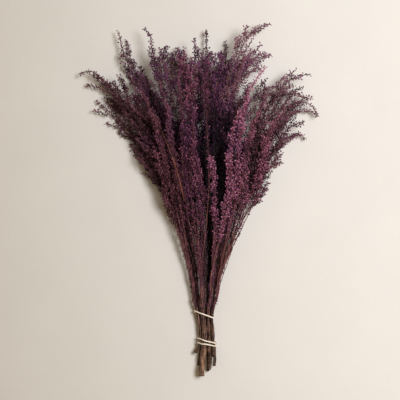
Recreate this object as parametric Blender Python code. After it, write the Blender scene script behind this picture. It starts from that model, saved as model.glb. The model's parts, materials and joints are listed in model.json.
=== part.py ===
"""Model a tied bunch of preserved stoebe that lies on a flat surface.

Twelve woody stems pass through two rubber bands and fan out into plumes. Each plume is a wiry branch with a slim
leafy core, and short pointed twiglets stand out of the core on all sides.

X runs across the bunch, Y from the cut ends to the plume tips, and Z up. The surface is at z = 0 and the origin
is under the middle of the bunch. The driving dimensions are in millimetres and are turned into metres where the
meshes are made.
"""

import math
import random

import bmesh
import bpy
import numpy as np

MM = 0.001

# The bundle of stems, at stations along Y: the middle of the bundle in X, how far the stems stand apart across
# and in height, and how thick they are, against their places and sizes under the lower band
STATION_Y = (-300, -262, -240, -215, -193, -165, -136, -100)
STATION_MIDDLE = (8.5, 10.5, 11.0, 10.2, 7.5, 8.8, 8.6, 9.8)
STATION_ACROSS = (1.32, 1.20, 1.00, 0.98, 1.14, 1.70, 2.05, 2.90)
STATION_HEIGHT = (1.02, 1.00, 1.00, 0.99, 1.00, 1.16, 1.42, 1.80)
STATION_THICK = (1.03, 1.02, 1.00, 0.94, 0.88, 0.76, 0.62, 0.46)

# Below the tie a cut end may flare out sideways, from this Y on. A stem's line has a knot at each of these Y
# that is not too close to its ends.
FLARE_Y = -247
KNOT_ROOM = 8

# The rubber bands: a flat strand, stretched round the stems. Each band is wound once or twice. Its middle lies at
# a Y, which changes across the top of the bundle by a slope, and the strands of two turns part by a distance.
BAND_WIDTH = 2.2
BAND_THICK = 1.3
BAND_GAP = 0.3
BAND_STEPS = 24
PRESSED_FLAT = 0.5
PARTING_POWER = 0.7
STEP_OVER = (0.08, 0.17)
BANDS = {
    "rubber_band_upper": {"turns": 1, "y": -193.5, "slope": -0.40, "parting": 0},
    "rubber_band_lower": {"turns": 2, "y": -240.8, "slope": -0.25, "parting": 8.0},
}

# Wiry branches and the slim leafy core of a plume
FORK_RADIUS = 1.3
WIRE_RADIUS = 1.0
CORE_RADIUS = 3.0
TIP_RADIUS = 1.0
WIRE_STEP = 40
CORE_GROWTH = 30
TIP_SHARE = 0.6
RING_TWIST = math.radians(28)
WOOD_SIDES = 8
WOOD_STEPS = 3
CUT_SLANT = 0.4

# Twiglets, raised from the sides of the core
TWIGLET_LENGTH = 17
TWIGLET_RADIUS = 1.3
TWIGLET_STEP = 12.4
TWIGLET_LEAN = math.radians(50)
TWIGLET_GROWTH = ((0, 0.2, 0.6, 1), (0.7, 1.1, 1.0, 0.6))
SHORTEST_TWIGLET = 1.2
BEND_SHARE = 0.4

# The room that every plume claims, so that no twiglet grows into another plume
ROOT_ROOM = 1.8
CLEARANCE = 0.6
STICK_LENGTH = 10
REACH_TESTED = 60
SHARES_TESTED = (0.25, 0.4, 0.55, 0.7, 0.85, 1.0)

RUBBER = (0.85, 0.74, 0.55)


def plume(tip, heading, hook=(0, 0), leaves=-40, parent=None, fork=None):
    """A plume sweeps to its tip, where it has a heading in degrees. A hook goes on from there, with a length and
    a turn. Its leaves start at the Y given. A side plume names the plume that it leaves and the Y of its fork."""
    return {"tip": tip, "heading": heading, "hook": hook, "leaves": leaves, "parent": parent, "fork": fork}


# Each stem: its layer, its place in the tie across and in height, its radius there, the Y of its cut end, the Y
# where its wood ends, how far its cut end flares out, the colour of its tufts, and its plumes. Stems and plumes
# are listed from left to right, and side plumes after them.
STEMS = {
    "leafy_stem_low_left": {
        "layer": "low", "slot": (-8.1, 4.2), "radius": 2.6, "cut": -281, "top": -108, "flare": -2.0,
        "colour": (0.085, 0.030, 0.065),
        "plumes": [
            plume((-142, 134, 6), 132, (0, 0), -66),
            plume((-176, 168, 9), 142, (0, 0), -40),
            plume((-160, 184, 17), 152, (32, 18), -30),
            plume((-173, 211, 26), 136, (33, 88), -30),
        ],
    },
    "leafy_stem_low_left_of_centre": {
        "layer": "low", "slot": (-2.5, 4.3), "radius": 2.7, "cut": -274, "top": -104, "flare": 0.0,
        "colour": (0.060, 0.020, 0.045),
        "plumes": [
            plume((-104, 172, 17), 112, (0, 0), 10),
            plume((-138, 285, 22), 101, (0, 0), 20),
            plume((-125, 271, 6), 100, (0, 0), 60),
            plume((-88, 196, 14), 110, (20, 50), 10),
        ],
    },
    "leafy_stem_low_right_of_centre": {
        "layer": "low", "slot": (3.2, 4.3), "radius": 2.7, "cut": -290, "top": -104, "flare": 0.5,
        "colour": (0.060, 0.020, 0.050),
        "plumes": [
            plume((-38, 257, 14), 96, (0, 0), 40),
            plume((10, 287, 16), 93, (0, 0), 50),
            plume((44, 267, 6), 90, (0, 0), 40),
            plume((72, 172, 12), 66, (0, 0), 10),
        ],
    },
    "leafy_stem_low_right": {
        "layer": "low", "slot": (8.7, 4.1), "radius": 2.5, "cut": -266, "top": -110, "flare": 1.0,
        "colour": (0.095, 0.035, 0.075),
        "plumes": [
            plume((163, 164, 24), 16, (46, -98), 0),
            plume((165, 149, 15), 16, (34, -50), 10),
            plume((157, 110, 11), 26, (22, -80), 0),
            plume((139, 78, 6), 46, (0, 0), -30),
            plume((112, 20, 8), 56, (0, 0), -50),
        ],
    },
    "leafy_stem_middle_left": {
        "layer": "middle", "slot": (-6.5, 9.7), "radius": 2.7, "cut": -277, "top": -106, "flare": -2.5,
        "colour": (0.085, 0.030, 0.060),
        "plumes": [
            plume((-106, 104, 34), 122, (0, 0), -40),
            plume((-144, 198, 42), 124, (0, 0), 0),
            plume((-118, 208, 44), 114, (0, 0), 20),
            plume((-130, 200, 38), 104, (0, 0), 152, 1, 138),
        ],
    },
    "leafy_stem_middle_left_of_centre": {
        "layer": "middle", "slot": (-0.6, 9.9), "radius": 2.9, "cut": -262, "top": -100, "flare": 0.0,
        "colour": (0.050, 0.018, 0.045),
        "plumes": [
            plume((-82, 268, 48), 99, (22, 42), 20),
            plume((-60, 222, 52), 104, (0, 0), 20),
            plume((-27, 253, 46), 88, (0, 0), 50),
            plume((-66, 250, 54), 86, (0, 0), 190, 0, 178),
            plume((-46, 246, 42), 84, (0, 0), 182, 1, 168),
        ],
    },
    "leafy_stem_middle_right_of_centre": {
        "layer": "middle", "slot": (5.5, 9.8), "radius": 2.9, "cut": -270, "top": -100, "flare": 0.5,
        "colour": (0.075, 0.024, 0.080),
        "plumes": [
            plume((-10, 269, 54), 92, (0, 0), 40),
            plume((24, 240, 56), 88, (0, 0), 60),
            plume((48, 226, 48), 76, (0, 0), 30),
            plume((4, 246, 58), 74, (0, 0), 184, 0, 172),
            plume((38, 238, 52), 78, (0, 0), 182, 1, 168),
        ],
    },
    "leafy_stem_middle_right": {
        "layer": "middle", "slot": (11.5, 9.3), "radius": 2.8, "cut": -262, "top": -106, "flare": 0.5,
        "colour": (0.100, 0.040, 0.070),
        "plumes": [
            plume((74, 264, 46), 66, (56, -62), 30),
            plume((99, 180, 40), 36, (32, -36), 20),
            plume((148, 199, 44), 36, (38, -36), 20),
            plume((134, 128, 38), 44, (0, 0), -10),
            plume((172, 131, 36), 12, (0, 0), 20),
            plume((108, 246, 38), 22, (0, 0), 196, 0, 186),
            plume((99, 224, 42), 24, (0, 0), 175, 0, 160),
            plume((166, 180, 36), 10, (0, 0), 172, 2, 166),
        ],
    },
    "leafy_stem_front_left": {
        "layer": "front", "slot": (-10.9, 14.2), "radius": 3.3, "cut": -258, "top": -110, "flare": -6.0,
        "colour": (0.110, 0.035, 0.065),
        "plumes": [
            plume((-78, 92, 62), 116, (0, 0), -50),
            plume((-96, 178, 72), 118, (0, 0), -20),
            plume((-66, 190, 80), 108, (0, 0), -20),
        ],
    },
    "leafy_stem_front_centre": {
        "layer": "front", "slot": (-3.6, 19.1), "radius": 5.2, "cut": -297.5, "top": -96, "flare": 0.0,
        "colour": (0.120, 0.038, 0.090),
        "plumes": [
            plume((-36, 204, 88), 100, (0, 0), -20),
            plume((-14, 236, 84), 92, (0, 0), 0),
            plume((-12, 128, 88), 94, (0, 0), -40),
            plume((-2, 62, 80), 92, (0, 0), -60),
            plume((12, 228, 88), 84, (0, 0), 90),
            plume((-30, 234, 80), 108, (0, 0), 176, 1, 164),
        ],
    },
    "leafy_stem_front_right_of_centre": {
        "layer": "front", "slot": (4.9, 16.5), "radius": 3.3, "cut": -286, "top": -104, "flare": 1.0,
        "colour": (0.190, 0.060, 0.110),
        "plumes": [
            plume((20, 70, 82), 80, (0, 0), 0),
            plume((24, 2, 70), 78, (0, 0), -70),
            plume((66, 150, 90), 66, (0, 0), -40),
            plume((107, 218, 78), 46, (0, 0), -20),
        ],
    },
    "leafy_stem_front_right": {
        "layer": "front", "slot": (11.3, 15.3), "radius": 2.8, "cut": -280.5, "top": -112, "flare": 0.5,
        "colour": (0.160, 0.050, 0.095),
        "plumes": [
            plume((112, 172, 62), 56, (0, 0), -10),
            plume((76, 34, 68), 58, (0, 0), -60),
            plume((142, 150, 62), 46, (0, 0), 0),
            plume((118, 92, 58), 50, (0, 0), -30),
        ],
    },
}

# The fan of plumes at its waist, where every plume has its own place across, and how high each layer lies there
WAIST_Y = 10
FAN_Y = (-136, -95, -40, 10, 60, 110)
FAN_LEFT = (-10, -16, -38, -61, -84, -110)
FAN_RIGHT = (32, 46, 74, 100, 118, 136)
LAYER_HEIGHT = {"low": 15, "middle": 39, "front": 66}
LAYER_DROOP = 0.35
FORK_STEP = 24

# How a plume sweeps: how far its ends' directions reach, how much it leans to the waist where it leaves the
# wood, how high the fan's layers lie at their lowest, and how steeply a hook falls
SWEEP_REACH = 0.36
WAIST_LEAN = 0.6
TIP_ROOM = 45
RISE_Y = -100
RISE_SHARE = 0.35
HOOK_STEPS = 12
HOOK_FALL = -0.12


def bezier(start, start_pull, end_pull, end, count):
    """Points along a cubic Bezier curve."""
    share = np.linspace(0, 1, count)[:, None]
    rest = 1 - share
    return rest**3 * start + 3 * rest**2 * share * start_pull + 3 * rest * share**2 * end_pull + share**3 * end


def unit(vector):
    return vector / np.linalg.norm(vector)


def lengths_along(points):
    """The distance of each point from the first, along the line through them."""
    return np.concatenate([[0], np.cumsum(np.linalg.norm(np.diff(points, axis=0), axis=1))])


def point_on(points, distance):
    """The point and the direction of a line at a distance along it."""
    along = lengths_along(points)
    place = np.array([np.interp(distance, along, points[:, axis]) for axis in range(3)])
    index = int(np.clip(np.searchsorted(along, distance), 1, len(points) - 1))
    return place, unit(points[index] - points[index - 1])


def at_station(values, y):
    return float(np.interp(y, STATION_Y, values))


def stem_place(stem, y):
    """The middle of a stem's wood where it passes a given Y."""
    across, height = stem["slot"]
    flare = stem["flare"] * np.interp(y, (stem["cut"], FLARE_Y), (1, 0))
    x = at_station(STATION_MIDDLE, y) + across * at_station(STATION_ACROSS, y) + flare
    return np.array([x, y, height * at_station(STATION_HEIGHT, y)])


def wood_route(stem):
    """The middle line of a stem's wood, from its cut end to its top."""
    inner = [y for y in sorted((*STATION_Y, FLARE_Y)) if stem["cut"] + KNOT_ROOM < y < stem["top"] - KNOT_ROOM]
    knots = np.array([stem_place(stem, y) for y in [stem["cut"], *inner, stem["top"]]])
    slopes = np.gradient(knots, knots[:, 1], axis=0)
    pieces = []
    for low, high, low_slope, high_slope in zip(knots, knots[1:], slopes, slopes[1:]):
        third = (high[1] - low[1]) / 3
        piece = bezier(low, low + low_slope * third, high - high_slope * third, high, WOOD_STEPS + 1)
        pieces.append(piece[:-1])
    return np.vstack([*pieces, knots[-1:]])


def waist_place(stem, share, y):
    """Where a plume passes the fan's waist. The share runs from 0 at the fan's left side to 1 at its right."""
    left, right = np.interp(y, FAN_Y, FAN_LEFT), np.interp(y, FAN_Y, FAN_RIGHT)
    height = LAYER_HEIGHT[stem["layer"]] * (1 - LAYER_DROOP * (2 * share - 1) ** 2)
    height *= np.interp(y, (RISE_Y, WAIST_Y), (RISE_SHARE, 1))
    return np.array([left + share * (right - left), y, height])


def sweep(start, start_direction, end, end_direction, count=24):
    """A smooth line between two points with given directions."""
    reach = np.linalg.norm(end - start) * SWEEP_REACH
    return bezier(start, start + start_direction * reach, end - end_direction * reach, end, count)


def plume_route(parent_line, spec, stem, share, fork_y):
    """The middle line of a plume, from its parent's middle line through the waist to its tip."""
    distance = np.interp(fork_y, parent_line[:, 1], lengths_along(parent_line))
    start, start_direction = point_on(parent_line, distance)
    end = np.array(spec["tip"], float)
    heading = math.radians(spec["heading"])
    end_direction = np.array([math.cos(heading), math.sin(heading), 0])
    if share is None:
        line = sweep(start, unit(start_direction + unit(end - start)), end, end_direction)
    else:
        waist = waist_place(stem, share, min(WAIST_Y, end[1] - TIP_ROOM))
        waist_direction = unit(unit(waist - start) + unit(end - waist))
        start_direction = unit(start_direction + WAIST_LEAN * unit(waist - start))
        lower = sweep(start, start_direction, waist, waist_direction)
        line = np.vstack([lower[:-1], sweep(waist, waist_direction, end, end_direction)])
    hook_length, hook_turn = spec["hook"]
    if not hook_length:
        return line
    hook = [end]
    for step in range(HOOK_STEPS):
        angle = heading + math.radians(hook_turn) * (step + 0.5) / HOOK_STEPS
        hook.append(hook[-1] + np.array([math.cos(angle), math.sin(angle), HOOK_FALL]) * hook_length / HOOK_STEPS)
    return np.vstack([line, hook[1:]])


def frame_across(direction):
    """Two unit vectors across a direction."""
    side = unit(np.cross(direction, (0.0, 0.0, 1.0) if abs(direction[2]) < 0.9 else (0.0, 1.0, 0.0)))
    return side, np.cross(side, direction)


def mesh_from(name, points, faces):
    """A mesh object from points in millimetres, with its faces turned outwards."""
    mesh = bpy.data.meshes.new(name)
    mesh.from_pydata((np.asarray(points) * MM).tolist(), [], faces)
    shape = bmesh.new()
    shape.from_mesh(mesh)
    bmesh.ops.recalc_face_normals(shape, faces=shape.faces)
    shape.to_mesh(mesh)
    shape.free()
    return bpy.data.objects.new(name, mesh)


def tube(name, route, radii, sides, cut_slant=0.0):
    """A closed tube along a route. A slant tilts the plane of its first end, as a cut does."""
    points = []
    for index, (place, radius) in enumerate(zip(route, radii)):
        direction = unit(route[min(index + 1, len(route) - 1)] - route[max(index - 1, 0)])
        side, up = frame_across(direction)
        for step in range(sides):
            angle = math.tau * (step + 0.5) / sides
            offset = radius * (side * math.cos(angle) + up * math.sin(angle))
            slide = direction * radius * math.sin(angle) * cut_slant if index == 0 else 0
            points.append(place + offset + slide)
    faces = [list(range(sides)), list(range(len(points) - sides, len(points)))]
    for ring in range(len(route) - 1):
        for step in range(sides):
            low, low_next = ring * sides + step, ring * sides + (step + 1) % sides
            faces.append([low, low_next, low_next + sides, low + sides])
    return mesh_from(name, points, faces)


def plume_rings(route, leafy_from):
    """Where a plume's rings lie along it: far apart on the bare wire and close together on the leafy core."""
    length = lengths_along(route)[-1]
    bare = np.linspace(0, leafy_from, max(1, round(leafy_from / WIRE_STEP)) + 1)[:-1] if leafy_from else []
    leafy = np.linspace(leafy_from, length, max(4, round((length - leafy_from) / TWIGLET_STEP)) + 1)
    return np.concatenate([bare, leafy]), len(bare)


def bend_radius(route, distance):
    """How tightly a line bends near a distance along it."""
    before = point_on(route, max(distance - TWIGLET_STEP / 2, 0))[1]
    after = point_on(route, distance + TWIGLET_STEP * 1.5)[1]
    turned = math.acos(min(1, float(np.dot(before, after))))
    return 2 * TWIGLET_STEP / max(turned, 0.01)


def core_radius(distance, leafy_from, length):
    """How thick a plume's branch is at a distance along it: wire first, then the leafy core, then its tip."""
    wire = np.interp(distance, (0, max(leafy_from, 1)), (FORK_RADIUS, WIRE_RADIUS))
    core = np.interp(distance, (leafy_from, leafy_from + CORE_GROWTH), (0, CORE_RADIUS - WIRE_RADIUS))
    close = np.interp(distance, (length * TIP_SHARE, length), (0, 1))
    return (wire + core) * (1 - close) + TIP_RADIUS * close


class Room:
    """What is taken already, as round-ended sticks: two ends, a radius, and the stem and the plume they are of."""

    def __init__(self):
        self.sticks = []

    def add(self, owner, start, end, radius):
        self.sticks.append((owner, start, end, radius))

    def index(self):
        self.owners = np.array([stick[0] for stick in self.sticks])
        self.starts = np.array([stick[1] for stick in self.sticks])
        self.ends = np.array([stick[2] for stick in self.sticks])
        self.radii = np.array([stick[3] for stick in self.sticks])

    def free_share(self, owner, start, end, radius):
        """How much of a stick can be kept clear of every other owner's sticks: 1, or less, or 0."""
        near = (self.owners != owner) & (np.abs(self.starts - start).max(axis=1) < REACH_TESTED)
        if not near.any():
            return 1.0
        starts, ends, radii = self.starts[near], self.ends[near], self.radii[near]
        spans = ends - starts
        squares = np.maximum((spans**2).sum(axis=1), 1e-9)
        for share in SHARES_TESTED:
            point = start + (end - start) * share
            along = np.clip(((point - starts) * spans).sum(axis=1) / squares, 0, 1)
            gaps = np.linalg.norm(starts + spans * along[:, None] - point, axis=1) - radii
            if gaps.min() < radius + CLEARANCE:
                return share - SHARES_TESTED[0]
        return 1.0


def leafy_branch(name, route, leafy_from, room, owner, draw):
    """One plume as a closed solid: a wire with three sides, whose sides are raised into pointed twiglets where
    it is leafy. A twiglet leans towards the tip, is shorter where another plume is in its way, and lies flat
    where it would reach under the surface."""
    length = lengths_along(route)[-1]
    distances, first_leafy = plume_rings(route, leafy_from)
    points, faces = [], []
    turn = draw.uniform(0, math.tau)
    for index, distance in enumerate(distances):
        place, direction = point_on(route, distance)
        side, up = frame_across(direction)
        turn += RING_TWIST if index > first_leafy else 0
        for step in range(3):
            angle = turn + math.tau * step / 3
            radius = core_radius(distance, leafy_from, length)
            points.append(place + radius * (side * math.cos(angle) + up * math.sin(angle)))
    last = len(points)
    faces.append([0, 1, 2])
    faces.append([last - 1, last - 2, last - 3])
    for ring in range(len(distances) - 1):
        share = (distances[ring] - leafy_from) / (length - leafy_from)
        chord = [point_on(route, distance)[0] for distance in distances[ring : ring + 2]]
        middle, direction = (chord[0] + chord[1]) / 2, unit(chord[1] - chord[0])
        for step in range(3):
            low, low_next = ring * 3 + step, ring * 3 + (step + 1) % 3
            corners = [low, low_next, low_next + 3, low + 3]
            if ring < first_leafy:
                faces.append(corners)
                continue
            root = sum(points[corner] for corner in corners) / 4
            outward = root - middle
            outward = unit(outward - direction * np.dot(outward, direction))
            full = TWIGLET_LENGTH * float(np.interp(share, *TWIGLET_GROWTH))
            reach = min(full * draw.uniform(0.65, 1.2), bend_radius(route, distances[ring]) * BEND_SHARE)
            lean = TWIGLET_LEAN * (1 - 0.35 * share) * draw.uniform(0.85, 1.15)
            aim = direction * math.cos(lean) + outward * math.sin(lean)
            kept = room.free_share(owner, root, root + reach * aim, TWIGLET_RADIUS)
            tip = root + max(reach * kept, SHORTEST_TWIGLET) * aim
            room.add(owner, root, tip, TWIGLET_RADIUS)
            points.append(tip)
            apex = len(points) - 1
            faces.extend([[corners[k], corners[(k + 1) % 4], apex] for k in range(4)])
    points = np.array(points)
    points[:, 2] = np.maximum(points[:, 2], 0)
    return mesh_from(name, points, faces)


def join_into(base, parts):
    """Fuse parts into a base by one Boolean union, and keep only the outside of the largest solid."""
    group = bpy.data.collections.new("pieces_to_fuse")
    bpy.context.scene.collection.children.link(group)
    for part in parts:
        group.objects.link(part)
    union = base.modifiers.new("union", "BOOLEAN")
    union.operation = "UNION"
    union.solver = "MANIFOLD"
    union.operand_type = "COLLECTION"
    union.collection = group
    bpy.context.view_layer.update()
    fused = bpy.data.meshes.new_from_object(base.evaluated_get(bpy.context.evaluated_depsgraph_get()))
    base.modifiers.clear()
    base.data = fused
    for part in list(group.objects):
        mesh = part.data
        bpy.data.objects.remove(part)
        bpy.data.meshes.remove(mesh)
    bpy.data.collections.remove(group)
    keep_largest_solid(base.data)


def keep_largest_solid(mesh):
    """Drop loose scraps and fill sealed hollows, by keeping the one outer surface."""
    shape = bmesh.new()
    shape.from_mesh(mesh)
    unseen = set(shape.verts)
    groups = []
    while unseen:
        queue = [unseen.pop()]
        group = []
        while queue:
            vert = queue.pop()
            group.append(vert)
            for edge in vert.link_edges:
                other = edge.other_vert(vert)
                if other in unseen:
                    unseen.remove(other)
                    queue.append(other)
        groups.append(group)
    groups.sort(key=len)
    scraps = [vert for group in groups[:-1] for vert in group]
    bmesh.ops.delete(shape, geom=scraps, context="VERTS")
    shape.to_mesh(mesh)
    shape.free()


def material(name, colour, roughness):
    look = bpy.data.materials.new(name)
    look.use_nodes = True
    shader = look.node_tree.nodes["Principled BSDF"]
    shader.inputs["Base Color"].default_value = (*colour, 1)
    shader.inputs["Roughness"].default_value = roughness
    return look


def route_plumes(name):
    """The middle lines of a stem's wood and of its plumes, with the distance where each plume's leaves start.
    The middle plume goes on from the wood, and those beside it fork off lower down, one by one."""
    stem = STEMS[name]
    wood = wood_route(stem)
    in_layer = [
        (other, index)
        for other in STEMS
        if STEMS[other]["layer"] == stem["layer"]
        for index, spec in enumerate(STEMS[other]["plumes"])
        if spec["parent"] is None
    ]
    leading = (sum(spec["parent"] is None for spec in stem["plumes"]) - 1) / 2
    lines = []
    for index, spec in enumerate(stem["plumes"]):
        if spec["parent"] is None:
            share = (in_layer.index((name, index)) + 0.5) / len(in_layer)
            parent, fork_y = wood, stem["top"] - FORK_STEP * abs(index - leading)
        else:
            share, parent, fork_y = None, lines[spec["parent"]][0], spec["fork"]
        line = plume_route(parent, spec, stem, share, fork_y)
        leafy_from = float(np.interp(spec["leaves"], line[:, 1], lengths_along(line)))
        lines.append((line, leafy_from))
    return wood, lines


def make_stems():
    """All leafy stems: first their wood and branches, which claim their room, and then their twiglets."""
    room = Room()
    grown = {}
    owner = 0
    for name, stem in STEMS.items():
        wood, lines = route_plumes(name)
        for start, end in zip(wood, wood[1:]):
            room.add(owner, start, end, stem["radius"] * at_station(STATION_THICK, start[1]))
        plumes = []
        for line, leafy_from in lines:
            owner += 1
            plumes.append((owner, line, leafy_from))
            length = lengths_along(line)[-1]
            for distance in np.arange(0, length, STICK_LENGTH):
                start = point_on(line, distance)[0]
                end = point_on(line, distance + STICK_LENGTH)[0]
                root_room = ROOT_ROOM if distance > leafy_from else 0
                room.add(owner, start, end, core_radius(distance, leafy_from, length) + root_room)
        owner += 1
        grown[name] = (stem, wood, plumes)
    for name, (stem, wood, plumes) in grown.items():
        draw = random.Random(name)
        radii = [stem["radius"] * at_station(STATION_THICK, y) for y in wood[:, 1]]
        stem_object = tube(name, wood, radii, WOOD_SIDES, draw.uniform(-CUT_SLANT, CUT_SLANT))
        bpy.context.scene.collection.objects.link(stem_object)
        branches = []
        for owner, line, leafy_from in plumes:
            room.index()
            branches.append(leafy_branch("branch", line, leafy_from, room, owner, draw))
        join_into(stem_object, branches)
        stem_object.data.materials.clear()
        stem_object.data.materials.append(material(name, stem["colour"], 0.85))
        print(name, "triangles", sum(len(face.vertices) - 2 for face in stem_object.data.polygons))


def bundle_edge(angle, y, slope):
    """The outermost point of the bundle of stems in a direction across it, near a Y, where a band that slopes
    over the top of the bundle passes it."""
    outward = np.array([math.cos(angle), 0, math.sin(angle)])
    slope *= min(1, 1 + math.sin(angle))
    middle = at_station(STATION_MIDDLE, y)
    edges = []
    for stem in STEMS.values():
        across = stem_place(stem, y)[0] + outward[0] * stem["radius"] * at_station(STATION_THICK, y)
        level = y + slope * (across - middle)
        edges.append(stem_place(stem, level) + outward * stem["radius"] * at_station(STATION_THICK, level))
    return max(edges, key=lambda edge: np.dot(edge, outward)), outward


def make_band(name, band):
    """A rubber band as one closed strand with a flat section. Where two turns cross, one steps over the other."""
    steps = BAND_STEPS * band["turns"]
    line, outwards = [], []
    for step in range(steps):
        turn = step / BAND_STEPS
        wave = math.sin(math.pi * turn)
        part_by = band["parting"] / 2 * math.copysign(abs(wave) ** PARTING_POWER, wave)
        edge, outward = bundle_edge(math.tau * turn, band["y"] + part_by, band["slope"])
        step_over = np.interp(abs(turn - 1), STEP_OVER, (1, 0)) if band["turns"] > 1 else 0
        lift = BAND_GAP + BAND_THICK / 2 + step_over * (BAND_THICK + BAND_GAP)
        line.append(edge + outward * lift)
        outwards.append(outward)
    points, faces = [], []
    for step, (place, outward) in enumerate(zip(line, outwards)):
        along = unit(line[(step + 1) % steps] - line[step - 1])
        wide = unit(np.cross(along, outward)) * BAND_WIDTH / 2
        thick = outward * BAND_THICK / 2
        points.extend([place + wide + thick, place - wide + thick, place - wide - thick, place + wide - thick])
        for side in range(4):
            low, low_next = step * 4 + side, step * 4 + (side + 1) % 4
            faces.append([low, low_next, (low_next + 4) % (steps * 4), (low + 4) % (steps * 4)])
    points = np.array(points)
    points[points[:, 2] < PRESSED_FLAT, 2] = 0
    band_object = mesh_from(name, points, faces)
    bpy.context.scene.collection.objects.link(band_object)
    band_object.data.materials.append(material(name, RUBBER, 0.6))


def main():
    for old in list(bpy.data.objects):
        bpy.data.objects.remove(old)
    make_stems()
    for name, band in BANDS.items():
        make_band(name, band)


main()
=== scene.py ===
"""Dress a tied bunch of preserved stoebe that lies on a pale surface.

Every leafy stem of the frame is replaced by a finer one on the same routes: woody bark, wiry branches, side
sprigs and short twiglets, each covered with small leaf tufts. The rubber bands are replaced by rounder ones.
Sizes are in millimetres and are turned into metres where the meshes are made.
"""

import json
import math

import bpy
import numpy as np
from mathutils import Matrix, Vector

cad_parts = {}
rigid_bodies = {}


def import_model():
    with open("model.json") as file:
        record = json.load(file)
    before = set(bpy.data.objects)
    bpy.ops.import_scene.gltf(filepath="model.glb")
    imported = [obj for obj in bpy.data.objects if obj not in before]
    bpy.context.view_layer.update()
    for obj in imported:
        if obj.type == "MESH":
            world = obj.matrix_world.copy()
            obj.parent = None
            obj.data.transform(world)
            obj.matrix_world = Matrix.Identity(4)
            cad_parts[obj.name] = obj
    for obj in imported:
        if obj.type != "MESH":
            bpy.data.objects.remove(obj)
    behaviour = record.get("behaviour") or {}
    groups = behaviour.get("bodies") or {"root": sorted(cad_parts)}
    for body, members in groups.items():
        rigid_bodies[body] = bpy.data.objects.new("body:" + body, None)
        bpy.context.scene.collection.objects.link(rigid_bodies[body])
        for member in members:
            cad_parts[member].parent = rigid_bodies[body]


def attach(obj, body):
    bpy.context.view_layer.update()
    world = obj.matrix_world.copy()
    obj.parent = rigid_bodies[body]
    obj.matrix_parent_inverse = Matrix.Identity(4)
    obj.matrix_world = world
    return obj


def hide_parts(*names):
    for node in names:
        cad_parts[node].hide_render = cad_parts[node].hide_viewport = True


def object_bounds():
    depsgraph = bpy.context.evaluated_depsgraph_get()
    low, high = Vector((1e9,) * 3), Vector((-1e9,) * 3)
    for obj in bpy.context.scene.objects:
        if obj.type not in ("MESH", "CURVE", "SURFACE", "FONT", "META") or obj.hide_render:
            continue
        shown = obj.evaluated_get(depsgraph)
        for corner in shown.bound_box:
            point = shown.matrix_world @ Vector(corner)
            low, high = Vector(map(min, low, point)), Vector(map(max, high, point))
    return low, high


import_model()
cad_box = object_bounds()

MM = 0.001

# The bundle of stems, at stations along Y: its middle in X, how far the stems stand apart across and in
# height, and how thick they are, against their places and sizes under the lower band
STATION_Y = (-300, -262, -240, -215, -193, -165, -136, -100)
STATION_MIDDLE = (8.5, 10.5, 11.0, 10.2, 7.5, 8.8, 8.6, 9.8)
STATION_ACROSS = (1.32, 1.20, 1.00, 0.98, 1.14, 1.70, 2.05, 2.90)
STATION_HEIGHT = (1.02, 1.00, 1.00, 0.99, 1.00, 1.16, 1.42, 1.80)
STATION_THICK = (1.03, 1.02, 1.00, 0.94, 0.88, 0.76, 0.62, 0.46)

# Below the tie a cut end may flare out sideways, from this Y on. A stem's line has a knot at each of these Y
# that is not too close to its ends.
FLARE_Y = -247
KNOT_ROOM = 8

# The rubber bands: a flat strand, stretched round the stems. Each band is wound once or twice. Its middle
# lies at a Y, which changes across the top of the bundle by a slope. The strands of two turns part by a
# distance, and where they cross, one steps over the other within a share of a turn.
BAND_WIDTH = 2.2
BAND_THICK = 1.3
BAND_GAP = 0.3
BAND_STEPS = 120
BAND_SIDES = 12
BAND_ROUNDING = 0.6
PARTING_POWER = 0.7
STEP_OVER = (0.08, 0.17)
BANDS = {
    "rubber_band_upper": {"turns": 1, "y": -193.5, "slope": -0.40, "parting": 0},
    "rubber_band_lower": {"turns": 2, "y": -240.8, "slope": -0.25, "parting": 8.0},
}

# The fan of plumes at its waist, where every plume has its own place, and how high each layer lies there
WAIST_Y = 10
FAN_Y = (-136, -95, -40, 10, 60, 110)
FAN_LEFT = (-10, -16, -38, -61, -84, -110)
FAN_RIGHT = (32, 46, 74, 100, 118, 136)
LAYER_HEIGHT = {"low": 15, "middle": 39, "front": 66}
LAYER_DROOP = 0.35
FORK_STEP = 24

# How a plume sweeps: how far its ends' directions reach, how much it leans to the waist where it leaves the
# wood, how high the fan's layers lie at their lowest, and how steeply a hook falls
SWEEP_REACH = 0.36
WAIST_LEAN = 0.6
TIP_ROOM = 45
RISE_Y = -100
RISE_SHARE = 0.35
HOOK_STEPS = 12
HOOK_FALL = -0.12

# Wood and branches
WOOD_SIDES = 32
WOOD_STEPS = 4
WOOD_RING_STEP = 2.2
CUT_SLANT = 0.4
BARK_RELIEF = 0.42
WOOD_WANDER = 1.0
PALE_Y = (-250, -240)
BARK_SHADE = 0.40
BARK_REDDENS_Y = (-245, -170)
FURROWS, FURROW_DEPTH, FURROW_WANDER, FURROW_WAVE = 5, 0.45, 1.3, 0.055
BULGES, BULGE_DEPTH, BULGE_TURN = 3, 0.30, 0.021
KNOTS, KNOT_DEPTH, KNOT_TILT = 0.43, 0.25, 2
RIB_Y = (-252, -236)
RIB_DEPTH = 0.30
RIB_TURN = 0.045
RIB_SPACE = 4.6
RIB_WANDER = 0.35
RIB_POWER = 0.6
# Painted shade: the grooves between the tie's ribs are painted darker, the ridges a little lighter
RIB_PAINTED_SHADE = (0.9, 0.65)
LAST_RINGS = np.array([[0.8], [0.35]])
BARK_SPUR_Y = -186
BARK_SPUR_STEP = 1.8
WIRE_SIDES = 5
WIRE_STEP = 5.0
FORK_RADIUS = 1.15
WIRE_RADIUS = 0.75
TIP_RADIUS = 0.45
UNEVEN = (0.85, 1.15)

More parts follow.
